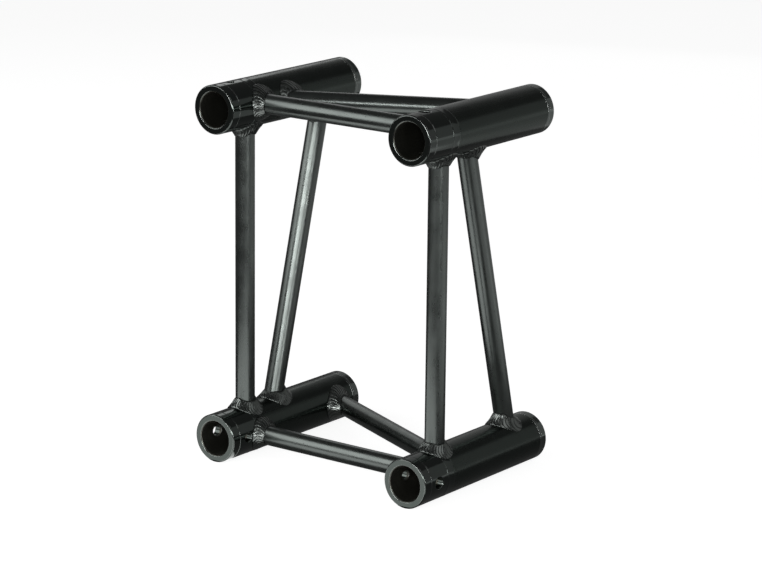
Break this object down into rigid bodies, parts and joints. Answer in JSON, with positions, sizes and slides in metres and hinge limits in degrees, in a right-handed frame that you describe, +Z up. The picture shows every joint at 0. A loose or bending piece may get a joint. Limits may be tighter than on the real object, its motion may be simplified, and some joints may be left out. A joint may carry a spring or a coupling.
{
  "type": "lighting truss section",
  "caption": "Short rectangular truss section: parallel round chords with open tapered end sockets, joined by welded straight and diagonal tube braces.",
  "frame": {"origin": "centre of the footprint, on the surface that the two lower chords rest on", "axes": "+Z up, the long side of the rectangle; +Y along the chords from the front sockets to the rear ends; +X to the right"},
  "size_m": [0.29, 0.21, 0.39],
  "materials": {
    "chord_tube": "satin",
    "socket": "gloss",
    "brace": "satin",
    "weld": "gloss"
  },
  "bodies": {
    "root": {"chord_tube_top_left": "chord_tube", "front_socket_top_left": "socket", "rear_socket_top_left": "socket", "front_girth_weld_top_left": "weld", "rear_girth_weld_top_left": "weld", "chord_tube_top_right": "chord_tube", "front_socket_top_right": "socket", "rear_socket_top_right": "socket", "front_girth_weld_top_right": "weld", "rear_girth_weld_top_right": "weld", "chord_tube_bottom_left": "chord_tube", "front_socket_bottom_left": "socket", "rear_socket_bottom_left": "socket", "front_girth_weld_bottom_left": "weld", "rear_girth_weld_bottom_left": "weld", "chord_tube_bottom_right": "chord_tube", "front_socket_bottom_right": "socket", "rear_socket_bottom_right": "socket", "front_girth_weld_bottom_right": "weld", "rear_girth_weld_bottom_right": "weld", "brace_left_upright": "brace", "weld_left_upright_bottom": "weld", "weld_left_upright_top": "weld", "brace_right_upright": "brace", "weld_right_upright_bottom": "weld", "weld_right_upright_top": "weld", "brace_top_crossbar": "brace", "weld_top_crossbar_left": "weld", "weld_top_crossbar_right": "weld", "brace_bottom_crossbar": "brace", "weld_bottom_crossbar_left": "weld", "weld_bottom_crossbar_right": "weld", "brace_left_diagonal": "brace", "weld_left_diagonal_bottom": "weld", "weld_left_diagonal_top": "weld", "brace_right_diagonal": "brace", "weld_right_diagonal_bottom": "weld", "weld_right_diagonal_top": "weld", "brace_top_diagonal": "brace", "weld_top_diagonal_left": "weld", "weld_top_diagonal_right": "weld", "brace_bottom_diagonal": "brace", "weld_bottom_diagonal_left": "weld", "weld_bottom_diagonal_right": "weld"}
  },
  "joints": []
}
